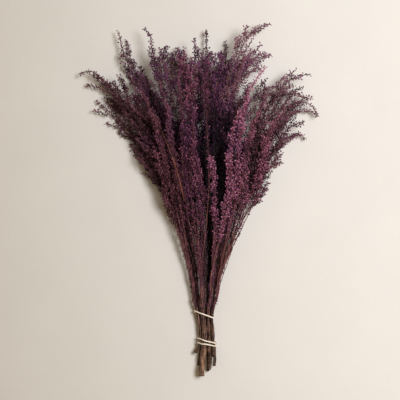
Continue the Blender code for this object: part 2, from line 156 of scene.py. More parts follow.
# Side sprigs of a plume, twiglets on both, and the tufts that cover a twiglet
SPRIG_STEP = 15
SPRIG_LENGTH = (30, 60)
SPRIG_SIZE = {"low": 1.0, "middle": 0.88, "front": 0.6}
SPRIG_GROWTH = (0, 0.3, 0.6, 1)
SPRIG_GROWN = (0.45, 0.95, 1.0)
SPRIG_LEAN = {"low": math.radians(27), "middle": math.radians(25), "front": math.radians(19)}
SPRIG_PAST_TIP = 10
SPRIG_END = 0.88
SPRIG_POINTS = 9
SPRIG_SIDES = 4
SPRIG_CURL = (0.35, 0.10)
SPRIG_THICK = (0.6, 0.35)
SPRIG_BARE = 4
SPRIG_SHADE_SPREAD = 0.26
# Painted shade: a sprig's twiglets are painted darker near its foot and lighter towards its tip
SPRIG_SHADE_ALONG = (-0.16, 0.12)
SPARSE_TIP_SHARE = 0.3
BUSHY_SPRIGS = 1.7
BUSHY_LEAN = 0.8
TWIGLET_STEP = 2.9
TWIGLET_LENGTH = 11.5
TWIGLET_LEAN = math.radians(40)
TWIGLET_CURL = (0.1, 0.3)
TWIGLETS_ALONG = ((0, 0.2, 0.6, 1), (0.6, 1.0, 0.85, 0.42))
# Painted shade: a plume's twiglets are painted darker where its leaves start, inside the bunch, and lighter
# towards its tip
SHADE_ALONG = (-0.12, 0.08)
SHADE_SPREAD = 0.2
SPRIG_TWIGLET_STEP = 3.2
SPRIG_TWIGLET_LENGTH = 6.5
SPRIG_TWIGLETS_ALONG = ((0, 0.5, 1), (1.1, 1.0, 0.6))
SPUR_STEP = 4.0
SPUR_LENGTH = 3.4
SPUR_LEANS = (0.6, 1.1)
GOLDEN_TURN = math.radians(137.5)
STALK_RADIUS = 0.38
STALK_SHARES = (0.55, 0.97)
TUFT_STEP = 1.6
TUFT_LENGTH = 3.1
TUFT_WIDTH = 1.3
TUFT_GROWTH = ((-170, -40), (0.62, 1.0))
TUFT_SIZES = (0.7, 1.25)
TUFT_SIZES_ALONG = ((0, 0.6, 0.9), (0.75, 1.0, 1.15))
TUFT_TILT_ALONG = ((0, 0.8, 1), (0.9, 0.8, 0.4))
TUFT_OUT_ALONG = ((0, 0.7, 1), (0.3, 0.8, 0.5))
TUFT_BACK = 0.8
TUFT_WAIST = 0.45
# Painted light and shade: tufts towards a twiglet's knob are painted lighter, those near its foot darker
KNOB_PAINTED_LIGHT, KNOB_PAINTED_LIGHT_FROM = 0.65, 0.62
KNOB_SPREAD = 1.25
KNOB_POWER = 0.55

# Painted shade inside the bunch: below these Y, the tufts and branches are painted darker
PAINTED_INNER_SHADE_Y = (110, 185)

# How a branch wanders, and the room that is left to the floor, to the frame's box and to its top
WOBBLE = 0.7
WOBBLE_STEP = 11
FLOOR_ROOM = 1.2
BOX_ROOM = 7
HIGHEST_SPRIG = 94
HIGHEST_TWIGLET = 99

# Thin shoots that leave the wood above the tie and run beside the plumes. Those of an edge stem leave lower
# and run on the side given by a turn.
SHOOT_START = (-205, -140)
SHOOT_END = (0.45, 0.85)
SHOOT_SPREAD = 6
SHOOT_RISE = 90
SHOOT_RADIUS = 0.85
SHOOT_SHADES = (0.35, 0.8)
# Painted shade: a shoot's tufts are painted darker than its plume's by this much
SHOOT_PAINTED_SHADE = 0.1
SHOOT_LEAST_LEAVES = 20
EDGES = {"leafy_stem_low_left": math.pi}
EDGE_START = (-196, -182)
EDGE_RISE = 26
SHOOT_TWIGLET_LENGTH = 8
FEW_SPURS = 30
SHOOTS = {"low": 2, "middle": 1, "front": 1}
SHOOT_LEAVES = {"low": (-30, 30), "middle": (-20, 40), "front": (50, 120)}

# One bare rusty twig, which bends over between its ends
BARE_TWIG = {
    "stem": "leafy_stem_front_left", "from": (-26, -2, 64), "over": (-38, 52, 84), "to": (-63, 114, 90),
    "points": 16, "thick": (0.9, 0.4),
}

# The floor, the lamp, the surround and the camera, in metres and degrees
FLOOR_SIZE, FLOOR_LEVEL = 8, -0.0003
LAMP_POWER, LAMP_COLOUR, LAMP_RADIUS = 690, (1.0, 0.99, 0.985), 0.82
LAMP_CONE, LAMP_BLEND = 56.3, 0.13
LAMP_PLACE, LAMP_AIM = (1.575, 0.696, 3.912), (1.44, 0.234, 0)
SURROUND_COLOUR, SURROUND_STRENGTH = (1.0, 0.74, 0.45, 1), 0.25
CAMERA_HEIGHT, CAMERA_SEES, SENSOR_WIDTH = 3.0, 0.680, 36

BARK_LOOK, WIRE_LOOK, TUFT_LOOK, WOOD_LOOK, RUST_LOOK = range(5)


def plume(tip, heading, leaves, parent=None, fork=None, hook=(0, 0), shade=0.5, bushy=0.0, spurs=140):
    """A plume sweeps to its tip, where it has a heading in degrees. Its leaves start at the Y given. A side
    plume names the plume that it leaves and the Y of its fork. A hook goes on from the tip, with a length and
    a turn. The tufts have a shade from 0, dark, to 1, bright. A bushy plume has more sprigs, which keep a
    share of their length up to its tip. Spurs reach down its bare branch by a length."""
    spec = {"tip": tip, "heading": heading, "hook": hook, "leaves": leaves, "parent": parent, "fork": fork}
    return spec | {"shade": shade, "bushy": bushy, "spurs": spurs}


# Each stem: its layer, its place in the tie across and in height, its radius there, the Y of its cut end, the
# Y where its wood ends, how far its cut end flares out, its tufts' tones, how bright its bark is at the cut
# end, how much painted shade darkens it inside the bunch, and its plumes. All are listed from left to right.
STEMS = {
    "leafy_stem_low_left": dict(
        layer="low", slot=(-8.1, 4.2), radius=2.6, cut=-281, top=-108, flare=-2.0,
        tones="plum", bark=0.40, painted_inner_shade=0.05,
        plumes=[
            plume((-142, 134, 6), 132, -66, bushy=0.4),
            plume((-176, 168, 9), 142, -40, bushy=0.6),
            plume((-160, 184, 17), 152, -30, hook=(32, 18), bushy=0.7),
            plume((-173, 211, 26), 136, -30, hook=(33, 88)),
        ],
    ),
    "leafy_stem_low_left_of_centre": dict(
        layer="low", slot=(-2.5, 4.3), radius=2.7, cut=-274, top=-104, flare=0.0,
        tones="dark", bark=0.30, painted_inner_shade=0.36,
        plumes=[
            plume((-104, 172, 17), 112, -20, bushy=0.3),
            plume((-138, 285, 22), 101, 20, spurs=29),
            plume((-125, 271, 6), 100, 60, spurs=29),
            plume((-88, 196, 14), 110, -10, hook=(20, 50)),
        ],
    ),
    "leafy_stem_low_right_of_centre": dict(
        layer="low", slot=(3.2, 4.3), radius=2.7, cut=-290, top=-104, flare=0.5,
        tones="dark", bark=0.30, painted_inner_shade=0.50,
        plumes=[
            plume((-38, 257, 14), 96, -20, bushy=0.6),
            plume((10, 287, 16), 93, -20, bushy=0.3),
            plume((44, 267, 6), 90, -10, bushy=0.4),
            plume((72, 172, 12), 66, 10, bushy=0.8),
        ],
    ),
    "leafy_stem_low_right": dict(
        layer="low", slot=(8.7, 4.1), radius=2.5, cut=-266, top=-110, flare=1.0,
        tones="grey", bark=0.30, painted_inner_shade=0.00,
        plumes=[
            plume((163, 164, 24), 16, 0, hook=(46, -98), bushy=0.4),
            plume((165, 149, 15), 16, 10, hook=(34, -50), bushy=0.2),
            plume((157, 110, 11), 26, 0, hook=(22, -80), spurs=25),
            plume((139, 78, 6), 46, -4, bushy=0.3, spurs=12),
            plume((112, 20, 8), 56, -16, spurs=10),
        ],
    ),
    "leafy_stem_middle_left": dict(
        layer="middle", slot=(-6.5, 9.7), radius=2.7, cut=-277, top=-106, flare=-2.5,
        tones="plum", bark=0.35, painted_inner_shade=0.15,
        plumes=[
            plume((-106, 104, 34), 122, -40, bushy=0.4),
            plume((-144, 198, 42), 124, 0, bushy=0.7),
            plume((-118, 208, 44), 114, 20, bushy=0.5),
            plume((-130, 200, 38), 104, 152, 1, 138),
        ],
    ),
    "leafy_stem_middle_left_of_centre": dict(
        layer="middle", slot=(-0.6, 9.9), radius=2.9, cut=-262, top=-100, flare=0.0,
        tones="violet", bark=0.35, painted_inner_shade=0.32,
        plumes=[
            plume((-82, 268, 48), 99, 20, hook=(22, 42), bushy=0.1),
            plume((-60, 222, 52), 104, 20, bushy=0.5),
            plume((-27, 253, 46), 88, 50, bushy=0.5),
            plume((-66, 250, 54), 86, 190, 0, 178, bushy=0.6),
            plume((-46, 246, 42), 84, 182, 1, 168, bushy=0.9),
        ],
    ),
    "leafy_stem_middle_right_of_centre": dict(
        layer="middle", slot=(5.5, 9.8), radius=2.9, cut=-270, top=-100, flare=0.5,
        tones="violet", bark=0.30, painted_inner_shade=0.52,
        plumes=[
            plume((-10, 269, 54), 92, 40, bushy=0.22),
            plume((24, 240, 56), 88, 60, bushy=0.8),
            plume((48, 226, 48), 76, 30, bushy=0.8),
            plume((4, 246, 58), 74, 184, 0, 172, bushy=0.9),
            plume((38, 238, 52), 78, 182, 1, 168, bushy=0.9),
        ],
    ),
    "leafy_stem_middle_right": dict(
        layer="middle", slot=(11.5, 9.3), radius=2.8, cut=-262, top=-106, flare=0.5,
        tones="grey", bark=0.35, painted_inner_shade=0.17,
        plumes=[
            plume((74, 264, 46), 66, 30, hook=(56, -62), shade=0.74, bushy=0.6),
            plume((99, 180, 40), 36, 20, hook=(32, -36), bushy=0.8),
            plume((148, 199, 44), 36, 20, hook=(38, -36), bushy=0.4),
            plume((134, 128, 38), 44, -4, bushy=0.5, spurs=25),
            plume((172, 131, 36), 12, 20, bushy=0.5, spurs=40),
            plume((108, 246, 38), 22, 196, 0, 186, shade=0.74, bushy=0.7),
            plume((99, 224, 42), 24, 175, 0, 160, shade=0.74, bushy=0.7),
            plume((166, 180, 36), 10, 172, 2, 166, bushy=0.3),
        ],
    ),
    "leafy_stem_front_left": dict(
        layer="front", slot=(-10.9, 14.2), radius=3.3, cut=-258, top=-110, flare=-6.0,
        tones="burgundy", bark=0.42, painted_inner_shade=0.00,
        plumes=[
            plume((-78, 92, 62), 116, -42),
            plume((-96, 178, 72), 118, -20),
            plume((-66, 190, 80), 108, -20),
        ],
    ),
    "leafy_stem_front_centre": dict(
        layer="front", slot=(-3.6, 19.1), radius=5.2, cut=-297.5, top=-96, flare=-2.2,
        tones="mauve", bark=0.60, painted_inner_shade=0.06,
        plumes=[
            plume((-36, 204, 88), 100, -20, shade=0.42),
            plume((-14, 236, 84), 92, 0, bushy=0.8),
            plume((-12, 128, 88), 94, -32),
            plume((-2, 62, 80), 92, -48),
            # Painted shade: this plume's tufts are painted darker where it runs over the dark gap between the
            # layers
            plume((12, 228, 88), 84, 130, shade=0.4, bushy=0.5),
            plume((-30, 234, 80), 108, 176, 1, 164, bushy=0.9),
        ],
    ),
    "leafy_stem_front_right_of_centre": dict(
        layer="front", slot=(4.9, 16.5), radius=3.3, cut=-286, top=-104, flare=1.0,
        tones="pink", bark=0.38, painted_inner_shade=0.00,
        plumes=[
            plume((20, 70, 82), 80, 0, spurs=100),
            plume((24, 2, 70), 78, -52, spurs=75),
            plume((66, 150, 90), 66, -30, shade=0.68, spurs=80),
            plume((107, 218, 78), 46, -20, shade=0.68, spurs=60),
        ],
    ),
    "leafy_stem_front_right": dict(
        layer="front", slot=(11.3, 15.3), radius=2.8, cut=-280.5, top=-112, flare=0.5,
        tones="rose", bark=0.35, painted_inner_shade=0.00,
        plumes=[
            plume((112, 172, 62), 56, -10, spurs=60),
            plume((76, 34, 68), 58, -28, bushy=0.3, spurs=20),
            plume((142, 150, 62), 46, 0, spurs=40),
            plume((118, 92, 58), 50, -8, bushy=0.3, spurs=20),
        ],
    ),
}

# The tufts' colours: their dark, their middle and their bright tone
TONES = {
    "dark": ((0.006, 0.002, 0.005), (0.044, 0.014, 0.034), (0.170, 0.062, 0.125)),
    "plum": ((0.010, 0.003, 0.006), (0.085, 0.028, 0.048), (0.240, 0.100, 0.150)),
    "grey": ((0.014, 0.004, 0.008), (0.120, 0.044, 0.076), (0.340, 0.150, 0.220)),
    "violet": ((0.008, 0.002, 0.008), (0.085, 0.024, 0.078), (0.260, 0.095, 0.220)),
    "burgundy": ((0.010, 0.003, 0.006), (0.115, 0.034, 0.062), (0.340, 0.125, 0.190)),
    "mauve": ((0.010, 0.002, 0.006), (0.140, 0.038, 0.088), (0.440, 0.150, 0.275)),
    "pink": ((0.012, 0.003, 0.007), (0.240, 0.066, 0.145), (0.620, 0.230, 0.400)),
    "rose": ((0.012, 0.003, 0.006), (0.190, 0.054, 0.108), (0.500, 0.185, 0.300)),
}
TONE_STOPS = (0.15, 0.50, 0.85)

# The other colours, by stops over a tone
WIRE_STOPS = ((0.28, (0.012, 0.004, 0.005)), (0.50, (0.130, 0.042, 0.042)), (0.64, (0.360, 0.130, 0.125)))
BROWN_STOPS = ((0.38, (0.012, 0.006, 0.004)), (0.50, (0.105, 0.056, 0.034)), (0.60, (0.36, 0.21, 0.13)))
RED_STOPS = ((0.38, (0.009, 0.003, 0.003)), (0.50, (0.080, 0.026, 0.027)), (0.60, (0.28, 0.115, 0.105)))
CUT_STOPS = ((0.3, (0.10, 0.065, 0.04)), (0.7, (0.30, 0.21, 0.13)))
RUST_STOPS = ((0.35, (0.10, 0.028, 0.014)), (0.65, (0.42, 0.135, 0.070)))
RUBBER_STOPS = ((0.3, (0.90, 0.82, 0.68)), (0.7, (0.97, 0.92, 0.82)))
FLOOR_STOPS = ((0.3, (0.775, 0.765, 0.745)), (0.7, (0.815, 0.805, 0.785)))


def bezier(start, start_pull, end_pull, end, count):
    """Points along a cubic Bezier curve."""
    share = np.linspace(0, 1, count)[:, None]
    rest = 1 - share
    first_half = rest**3 * start + 3 * rest**2 * share * start_pull
    return first_half + 3 * rest * share**2 * end_pull + share**3 * end


def unit(vectors):
    """Vectors of length 1: one, or a row for each."""
    return vectors / np.maximum(np.linalg.norm(vectors, axis=-1, keepdims=True), 1e-9)


def lengths_along(points):
    """The distance of each point from the first, along the line through them."""
    return np.concatenate([[0], np.cumsum(np.linalg.norm(np.diff(points, axis=0), axis=1))])


def point_on(points, distance):
    """The point and the direction of a line at a distance along it."""
    along = lengths_along(points)
    place = np.array([np.interp(distance, along, points[:, axis]) for axis in range(3)])
    index = int(np.clip(np.searchsorted(along, distance), 1, len(points) - 1))
    return place, unit(points[index] - points[index - 1])


def points_on(points, distances):
    """The points and the directions of a line at many distances along it."""
    along = lengths_along(points)
    slopes = unit(np.gradient(points, along, axis=0))
    places = np.stack([np.interp(distances, along, points[:, axis]) for axis in range(3)], axis=1)
    directions = np.stack([np.interp(distances, along, slopes[:, axis]) for axis in range(3)], axis=1)
    return places, unit(directions)


def at_station(values, y):
    return float(np.interp(y, STATION_Y, values))


def stem_place(stem, y):
    """The middle of a stem's wood where it passes a given Y."""
    across, height = stem["slot"]
    flare = stem["flare"] * np.interp(y, (stem["cut"], FLARE_Y), (1, 0))
    x = at_station(STATION_MIDDLE, y) + across * at_station(STATION_ACROSS, y) + flare
    return np.array([x, y, height * at_station(STATION_HEIGHT, y)])


def wood_route(stem):
    """The middle line of a stem's wood, from its cut end to its top."""
    first, last = stem["cut"] + KNOT_ROOM, stem["top"] - KNOT_ROOM
    inner = [y for y in sorted((*STATION_Y, FLARE_Y)) if first < y < last]
    knots = np.array([stem_place(stem, y) for y in [stem["cut"], *inner, stem["top"]]])
    slopes = np.gradient(knots, knots[:, 1], axis=0)
    pieces = []
    for low, high, low_slope, high_slope in zip(knots, knots[1:], slopes, slopes[1:]):
        third = (high[1] - low[1]) / 3
        piece = bezier(low, low + low_slope * third, high - high_slope * third, high, WOOD_STEPS + 1)
        pieces.append(piece[:-1])
    return np.vstack([*pieces, knots[-1:]])


def waist_place(stem, share, y):
    """Where a plume passes the fan's waist. Its share runs from 0 at the fan's left to 1 at its right."""
    left, right = np.interp(y, FAN_Y, FAN_LEFT), np.interp(y, FAN_Y, FAN_RIGHT)
    height = LAYER_HEIGHT[stem["layer"]] * (1 - LAYER_DROOP * (2 * share - 1) ** 2)
    height *= np.interp(y, (RISE_Y, WAIST_Y), (RISE_SHARE, 1))
    return np.array([left + share * (right - left), y, height])


def sweep(start, start_direction, end, end_direction, count=24):
    """A smooth line between two points with given directions."""
    reach = np.linalg.norm(end - start) * SWEEP_REACH
    return bezier(start, start + start_direction * reach, end - end_direction * reach, end, count)


def plume_route(parent_line, spec, stem, share, fork_y):
    """The middle line of a plume, from its parent's middle line through the waist to its tip."""
    distance = np.interp(fork_y, parent_line[:, 1], lengths_along(parent_line))
    start, start_direction = point_on(parent_line, distance)
    end = np.array(spec["tip"], float)
    heading = math.radians(spec["heading"])
    end_direction = np.array([math.cos(heading), math.sin(heading), 0])
    if share is None:
        line = sweep(start, unit(start_direction + unit(end - start)), end, end_direction)
    else:
        waist = waist_place(stem, share, min(WAIST_Y, end[1] - TIP_ROOM))
        waist_direction = unit(unit(waist - start) + unit(end - waist))
        start_direction = unit(start_direction + WAIST_LEAN * unit(waist - start))
        lower = sweep(start, start_direction, waist, waist_direction)
        line = np.vstack([lower[:-1], sweep(waist, waist_direction, end, end_direction)])
    hook_length, hook_turn = spec["hook"]
    if not hook_length:
        return line
    hook = [end]
    for step in range(HOOK_STEPS):
        angle = heading + math.radians(hook_turn) * (step + 0.5) / HOOK_STEPS
        onward = np.array([math.cos(angle), math.sin(angle), HOOK_FALL])
        hook.append(hook[-1] + onward * hook_length / HOOK_STEPS)
    return np.vstack([line, hook[1:]])


def route_plumes(name):
    """The middle lines of a stem's wood and of its plumes, with the distance where each plume's leaves start.
    The middle plume goes on from the wood, and those beside it fork off lower down, one by one."""
    stem = STEMS[name]
    wood = wood_route(stem)
    in_layer = [
        (other, index)
        for other in STEMS
        if STEMS[other]["layer"] == stem["layer"]
        for index, spec in enumerate(STEMS[other]["plumes"])
        if spec["parent"] is None
    ]
    leading = (sum(spec["parent"] is None for spec in stem["plumes"]) - 1) / 2
    lines = []
    for index, spec in enumerate(stem["plumes"]):
        if spec["parent"] is None:
            share = (in_layer.index((name, index)) + 0.5) / len(in_layer)
            parent, fork_y = wood, stem["top"] - FORK_STEP * abs(index - leading)
        else:
            share, parent, fork_y = None, lines[spec["parent"]][0], spec["fork"]
        line = plume_route(parent, spec, stem, share, fork_y)
        leafy_from = float(np.interp(spec["leaves"], line[:, 1], lengths_along(line)))
        lines.append((line, leafy_from))
    return wood, lines


def frames_across(directions):
    """Two rows of unit vectors across a row of directions, none of which is upright."""
    sides = unit(np.cross(directions, (0.0, 0.0, 1.0)))
    return sides, np.cross(sides, directions)


def frames_round(aims):
    """Two rows of unit vectors across a row of directions, which may be upright."""
    helper = np.where(np.abs(aims[:, 2:]) < 0.9, (0.0, 0.0, 1.0), (0.0, 1.0, 0.0))
    across = unit(np.cross(aims, helper))
    return across, np.cross(across, aims)


class Growth:
    """Closed shapes of triangles, in millimetres, each with the number of its look and how bright it is, from
    0 to 1, painted shade included. The painted inner shade is how much darker they are painted inside the
    bunch."""

    def __init__(self, painted_inner_shade=0.0):
        self.painted_inner_shade = painted_inner_shade
        self.points = []
        self.triangles = []
        self.looks = []
        self.shades = []
        self.count = 0

    # Painted shade: how much darker the points are painted, by their Y, inside the bunch
    def painted_inner_shade_at(self, places):
        return self.painted_inner_shade * np.interp(places[:, 1], PAINTED_INNER_SHADE_Y, (1, 0))

    def add(self, points, triangles, look, shade=0.5):
        self.points.append(points.reshape(-1, 3))
        self.shades.append(np.broadcast_to(shade, points.shape[:-1]).ravel())
        self.triangles.append(triangles.reshape(-1, 3) + self.count)
        self.looks.append(np.full(triangles.size // 3, look))
        self.count += len(self.points[-1])

    def mesh_object(self, name, looks):
        points = np.concatenate(self.points) * MM
        triangles = np.concatenate(self.triangles)
        mesh = bpy.data.meshes.new(name)
        mesh.vertices.add(len(points))
        mesh.vertices.foreach_set("co", points.ravel())
        mesh.loops.add(triangles.size)
        mesh.loops.foreach_set("vertex_index", triangles.ravel())
        mesh.polygons.add(len(triangles))
        mesh.polygons.foreach_set("loop_start", np.arange(0, triangles.size, 3))
        mesh.polygons.foreach_set("loop_total", np.full(len(triangles), 3))
        mesh.polygons.foreach_set("material_index", np.concatenate(self.looks))
        shade = mesh.attributes.new("shade", "FLOAT", "POINT")
        shade.data.foreach_set("value", np.concatenate(self.shades).astype(np.float32))
        mesh.update(calc_edges=True)
        mesh.shade_smooth()
        for look in looks:
            mesh.materials.append(look)
        piece = bpy.data.objects.new(name, mesh)
        bpy.context.scene.collection.objects.link(piece)
        return piece


def add_tube(growth, line, radii, sides, look, cap_look=None, slant=0.0, shade=0.5):
    """A closed tube along a line. Its radii are one for each point, or one for each point and side. A slant
    tilts the plane of its first end, as a cut does."""
    directions = unit(np.gradient(line, axis=0))
    across, up = frames_across(directions)
    angles = math.tau * (np.arange(sides) + 0.5) / sides
    circle = across[:, None] * np.cos(angles)[:, None] + up[:, None] * np.sin(angles)[:, None]
    radii = np.broadcast_to(np.asarray(radii, float).reshape(len(line), -1), (len(line), sides))
    points = line[:, None] + circle * radii[:, :, None]
    points[0] += directions[0] * (radii[0] * np.sin(angles) * slant)[:, None]
    ends = np.array([points[0].mean(axis=0), points[-1].mean(axis=0)])
    low = np.arange(sides * (len(line) - 1)).reshape(-1, sides)
    low_next = np.roll(low, -1, axis=1)
    walls = np.stack([low, low_next, low_next + sides, low, low_next + sides, low + sides], axis=-1)
    first = np.arange(sides)
    last = first + sides * (len(line) - 1)
    start_middle = sides * len(line)
    start_cap = np.stack([np.full(sides, start_middle), np.roll(first, -1), first], axis=-1)
    end_cap = np.stack([np.full(sides, start_middle + 1), last, np.roll(last, -1)], axis=-1)
    base = growth.count
    shades = np.asarray(shade, float)
    shades = shades if shades.ndim == 2 else shades.reshape(-1, 1)
    shades = np.broadcast_to(shades, (len(line), sides)).ravel()
    shades = np.concatenate([shades, shades[[0, -1]]])
    points = np.vstack([points.reshape(-1, 3), ends])
    growth.add(points, np.vstack([walls.reshape(-1, 3), end_cap]), look, shades)
    growth.triangles.append(start_cap + base)
    growth.looks.append(np.full(sides, look if cap_look is None else cap_look))


# A tuft: a small pointed bud with four sides, from its foot through a ring to its point
TUFT_TRIANGLES = np.array(
    [(0, 1 + (side + 1) % 4, 1 + side) for side in range(4)]
    + [(5, 1 + side, 1 + (side + 1) % 4) for side in range(4)]
)


def add_tufts(growth, feet, aims, lengths, widths, shades, draw):
    """Tufts that stand on their feet and point along their aims."""
    if not len(feet):
        return
    across, up = frames_round(aims)
    rolls = draw.uniform(0, math.tau, len(feet))[:, None] + math.tau * np.arange(4) / 4
    ring = across[:, None] * np.cos(rolls)[..., None] + up[:, None] * np.sin(rolls)[..., None]
    middles = feet + aims * (lengths * TUFT_WAIST)[:, None]
    ring = middles[:, None] + ring * (widths[:, None] * draw.uniform(0.8, 1.2, (len(feet), 4)))[..., None]
    points = np.concatenate([feet[:, None], ring, (feet + aims * lengths[:, None])[:, None]], axis=1)
    growth.add(points, TUFT_TRIANGLES + 6 * np.arange(len(feet))[:, None, None], TUFT_LOOK, shades[:, None])


# A stalk: three sides, from a ring at its foot through a ring at its middle to its point
STALK_TRIANGLES = np.array(
    [(2, 1, 0)]
    + [(side, (side + 1) % 3, 3 + (side + 1) % 3) for side in range(3)]
    + [(side, 3 + (side + 1) % 3, 3 + side) for side in range(3)]
    + [(3 + side, 3 + (side + 1) % 3, 6) for side in range(3)]
)


def add_stalks(growth, feet, middles, tips, radii, shades):
    """Thin tapering stalks, each bent at its middle."""
    across, up = frames_round(unit(tips - feet))
    angles = math.tau * np.arange(3) / 3
    ring = across[:, None] * np.cos(angles)[:, None] + up[:, None] * np.sin(angles)[:, None]
    ring = ring * radii[:, None, None]
    points = np.concatenate([feet[:, None] + ring, middles[:, None] + 0.75 * ring, tips[:, None]], axis=1)
    growth.add(points, STALK_TRIANGLES + 7 * np.arange(len(feet))[:, None, None], WIRE_LOOK, shades[:, None])


def room_in_box(root, heading):
    """How far a straight line can go from a root before it comes too close to the frame's box."""
    low, high = np.array(cad_box[0]) / MM + BOX_ROOM, np.array(cad_box[1]) / MM - BOX_ROOM
    sides = np.where(heading > 0, high, low)[:2] - root[:2]
    return float(np.maximum(sides / np.where(heading[:2] == 0, 1, heading[:2]), 1).min())


def inside_box(feet, reach):
    """Which tufts stay clear of the floor and inside the frame's box."""
    low, high = np.array(cad_box[0]) / MM, np.array(cad_box[1]) / MM
    return np.all((feet - reach[:, None] > low) & (feet + reach[:, None] < high), axis=1)


def add_twiglets(growth, line, distances, lengths, leans, shade, draw):
    """Twiglets along a line, turned round it like a spiral stair. Each leans towards the line's tip, bends
    forwards, and carries tufts, most of them in a knob at its end."""
    count = len(distances)
    roots, directions = points_on(line, distances)
    across, up = frames_across(directions)
    turns = GOLDEN_TURN * np.arange(count) + draw.uniform(-0.5, 0.5, count) + draw.uniform(0, math.tau)
    outward = across * np.cos(turns)[:, None] + up * np.sin(turns)[:, None]
    rise, run = (lengths * np.sin(leans))[:, None], (lengths * np.cos(leans))[:, None]
    curl = draw.uniform(*TWIGLET_CURL, count)[:, None]

    def place_at(share, rows=slice(None)):
        share = np.asarray(share).reshape(-1, 1)
        out = outward[rows] * rise[rows] * (share - curl[rows] * share**2)
        forward = directions[rows] * run[rows] * (share + curl[rows] * share**2)
        place = roots[rows] + out + forward
        place[:, 2] = np.maximum(place[:, 2], np.minimum(roots[rows][:, 2], FLOOR_ROOM))
        place[:, 2] = np.minimum(place[:, 2], HIGHEST_TWIGLET)
        return place

    own = shade + draw.uniform(-SHADE_SPREAD, SHADE_SPREAD, count)
    # Painted shade: stalks inside the bunch are painted darker
    stalk_shades = np.clip(own - growth.painted_inner_shade_at(roots), 0, 1)
    bend, tip = (place_at(share) for share in STALK_SHARES)
    add_stalks(growth, roots, bend, tip, np.full(count, STALK_RADIUS), stalk_shades)
    tufts = np.maximum(2, np.round(lengths / TUFT_STEP)).astype(int)
    rows = np.repeat(np.arange(count), tufts)
    order = np.arange(len(rows)) - np.repeat(np.cumsum(tufts) - tufts, tufts)
    share = ((order + draw.uniform(0.2, 0.8, len(rows))) / tufts[rows]) ** KNOB_POWER
    middle = place_at(share, rows)
    aim = unit(place_at(share + 0.05, rows) - place_at(share - 0.05, rows))
    side = unit(np.cross(aim, outward[rows] + 0.01))
    turn = GOLDEN_TURN * order + draw.uniform(0, math.tau, count)[rows]
    radial = side * np.cos(turn)[:, None] + np.cross(side, aim) * np.sin(turn)[:, None]
    size = draw.uniform(*TUFT_SIZES, len(rows)) * np.interp(share, *TUFT_SIZES_ALONG)
    size *= np.interp(middle[:, 1], *TUFT_GROWTH)
    # Painted shade inside the bunch, and painted light towards each twiglet's knob with painted shade near
    # its foot
    bright = own[rows] - growth.painted_inner_shade_at(middle) + draw.uniform(-SHADE_SPREAD, SHADE_SPREAD, len(rows))
    bright = bright + KNOB_PAINTED_LIGHT * (share - KNOB_PAINTED_LIGHT_FROM)
    tilt = np.interp(share, *TUFT_TILT_ALONG)[:, None]
    out = KNOB_SPREAD * size * np.interp(share, *TUFT_OUT_ALONG)
    feet = middle + radial * out[:, None] - aim * TUFT_BACK
    aims = unit(aim * (1 - 0.5 * tilt) + radial * tilt)
    keep = inside_box(feet + aims * TUFT_LENGTH / 2, size * TUFT_LENGTH * 0.6)
    size, bright = size[keep], np.clip(bright[keep], 0, 1)
    add_tufts(growth, feet[keep], aims[keep], TUFT_LENGTH * size, TUFT_WIDTH * size, bright, draw)


def steps_between(start, end, step, draw):
    """Distances from a start to an end, about a step apart."""
    count = max(1, int((end - start) / step))
    return start + (np.arange(count) + draw.uniform(0.1, 0.9, count)) * (end - start) / count


def grow_sprig(growth, root, direction, outward, length, lean, shade, draw):
    """A side sprig: it leaves a plume, bends towards the plume's own direction and carries small twiglets."""
    share = np.linspace(0, 1, SPRIG_POINTS)[:, None]
    out = math.sin(lean) * (share - SPRIG_CURL[0] * share**2)
    forward = math.cos(lean) * (share + SPRIG_CURL[1] * share**2)
    line = root + length * (outward * out + direction * forward)
    line[:, 2] = np.clip(line[:, 2], min(root[2], FLOOR_ROOM + 1), HIGHEST_SPRIG)
    # Painted shade: the sprig's wire is painted darker inside the bunch
    shades = 0.5 - growth.painted_inner_shade_at(line)
    add_tube(growth, line, np.linspace(*SPRIG_THICK, len(line)), SPRIG_SIDES, WIRE_LOOK, shade=shades)
    reach = lengths_along(line)[-1]
    distances = steps_between(SPRIG_BARE, reach, SPRIG_TWIGLET_STEP, draw)
    lengths = SPRIG_TWIGLET_LENGTH * np.interp(distances / reach, *SPRIG_TWIGLETS_ALONG)
    lengths *= draw.uniform(0.6, 1.3, len(distances))
    leans = TWIGLET_LEAN * draw.uniform(0.7, 1.1, len(distances))
    shades = shade + draw.uniform(-SPRIG_SHADE_SPREAD, SPRIG_SHADE_SPREAD)
    # Painted shade darker near the sprig's foot, lighter towards its tip
    shades = shades + np.interp(distances, (0, reach), SPRIG_SHADE_ALONG)
    add_twiglets(growth, line, distances, lengths, leans, shades, draw)


def grow_sprigs(growth, line, start, end, size, shade, draw):
    """Sprigs on both sides of a plume, which get shorter towards its tip. Their size is given by the step
    between them, their share of length at the tip, their length against the usual one, and how far they
    lean."""
    step, tip_share, longer, lean = size
    reach = lengths_along(line)[-1]
    for distance in steps_between(start, end, step, draw):
        (root,), (direction,) = points_on(line, np.array([distance]))
        (across,), (up,) = frames_across(direction[None])
        turn = draw.choice((0, math.pi)) + draw.uniform(-0.9, 0.9)
        outward = across * math.cos(turn) + up * math.sin(turn)
        share = (distance - start) / max(end - start, 1)
        grown = float(np.interp(share, SPRIG_GROWTH, (*SPRIG_GROWN, tip_share)))
        sprig = longer * draw.uniform(*SPRIG_LENGTH) * grown
        sprig = min(sprig, reach - distance + SPRIG_PAST_TIP)
        sprig = min(sprig, room_in_box(root, direction * math.cos(lean) + outward * math.sin(lean)))
        grow_sprig(growth, root, direction, outward, sprig, lean, shade, draw)


